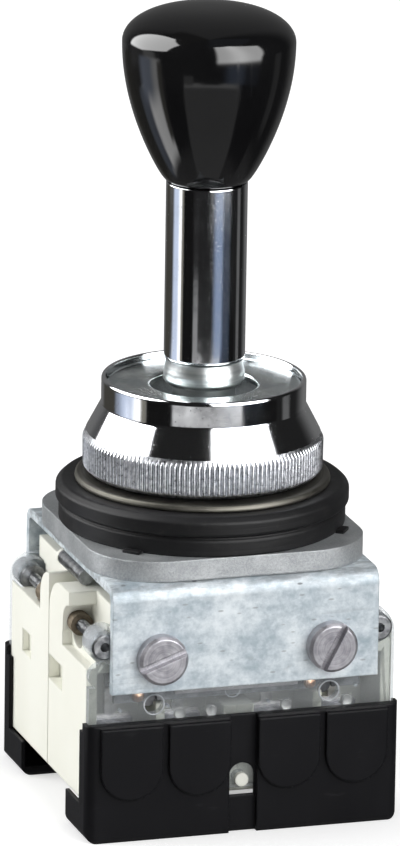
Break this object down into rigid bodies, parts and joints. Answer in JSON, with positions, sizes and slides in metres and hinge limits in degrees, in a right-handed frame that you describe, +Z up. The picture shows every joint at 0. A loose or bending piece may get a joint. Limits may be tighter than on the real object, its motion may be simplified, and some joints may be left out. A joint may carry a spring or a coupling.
{
  "type": "industrial joystick",
  "caption": "Panel-mounting joystick operator: knobbed lever in a knurled ring nut, gasket and base plate, over a bracket with contact blocks, covers and guards",
  "frame": {"origin": "on the lever's axis, on the base plate's top face, which seats behind the panel", "axes": "+Z up the lever towards the knob, X along the contact blocks, -Y towards the front block"},
  "size_m": [0.054, 0.0546, 0.1348],
  "materials": {
    "zinc": "matte die-cast zinc",
    "rubber": "matte",
    "satin_steel": "satin",
    "chrome": "bright",
    "zinc_plated": "bright zinc plating",
    "black_gloss": "gloss",
    "brass": "satin",
    "steel": "satin",
    "cream": "satin moulding",
    "clear": "clear moulding",
    "black_matt": "fine-grained moulding",
    "copper": "satin copper alloy",
    "dark_steel": "dark plated",
    "carrier": "satin moulding",
    "tan": "satin"
  },
  "bodies": {
    "base": {"head_casting": "zinc", "gasket": "rubber", "thrust_washer": "satin_steel", "ring_nut": "chrome", "cover_washer": "satin_steel", "outer_pins": "steel", "guide_plate": "cream", "return_spring": "steel", "pusher_springs": "steel", "bracket": "zinc_plated", "flange_screws": "zinc_plated", "plate_screws": "steel", "front_body": "cream", "rear_body": "cream", "front_cover": "clear", "rear_cover": "clear", "front_guard": "black_matt", "rear_guard": "black_matt", "front_carrier": "carrier", "rear_carrier": "carrier", "front_contacts": "copper", "rear_contacts": "copper", "terminal_screws": "steel", "terminal_clamps": "steel", "stacking_screws": "dark_steel", "stacking_collars": "tan", "cross_pins": "steel", "cross_pin_caps": "cream"},
    "gimbal": {"gimbal_ring": "steel", "inner_pin": "steel"},
    "lever": {"lever_stem": "zinc", "lever_sleeve": "chrome", "knob": "black_gloss", "knob_insert": "brass", "actuator_disc": "steel", "actuator_screw": "steel"},
    "south_pusher": {"pusher_south": "cream", "bridge_south": "copper"},
    "east_pusher": {"pusher_east": "cream", "bridge_east": "copper"},
    "north_pusher": {"pusher_north": "cream", "bridge_north": "copper"},
    "west_pusher": {"pusher_west": "cream", "bridge_west": "copper"}
  },
  "joints": [
    {"name": "lean_front_back", "type": "hinge", "parent": "base", "child": "gimbal", "pos_m": [0, 0, 0.015], "axis": [1, 0, 0], "range_deg": [-9, 9], "stiffness_Nm_per_rad": 2, "deforming": ["return_spring", "pusher_springs"]},
    {"name": "lean_left_right", "type": "hinge", "parent": "gimbal", "child": "lever", "pos_m": [0, 0, 0.015], "axis": [0, 1, 0], "range_deg": [-9, 9], "stiffness_Nm_per_rad": 2},
    {"name": "south_plunge", "type": "slide", "parent": "base", "child": "south_pusher", "axis": [0, 0, 1], "range_m": [-0.0011, 0.0011], "stiffness_N_per_m": 300},
    {"name": "east_plunge", "type": "slide", "parent": "base", "child": "east_pusher", "axis": [0, 0, 1], "range_m": [-0.0011, 0.0011], "stiffness_N_per_m": 300},
    {"name": "north_plunge", "type": "slide", "parent": "base", "child": "north_pusher", "axis": [0, 0, 1], "range_m": [-0.0011, 0.0011], "stiffness_N_per_m": 300},
    {"name": "west_plunge", "type": "slide", "parent": "base", "child": "west_pusher", "axis": [0, 0, 1], "range_m": [-0.0011, 0.0011], "stiffness_N_per_m": 300}
  ],
  "couplings": [
    {"joint": "south_plunge", "follows": "lean_front_back", "m_per_rad": -0.007},
    {"joint": "north_plunge", "follows": "lean_front_back", "m_per_rad": 0.007},
    {"joint": "east_plunge", "follows": "lean_left_right", "m_per_rad": -0.007},
    {"joint": "west_plunge", "follows": "lean_left_right", "m_per_rad": 0.007}
  ]
}
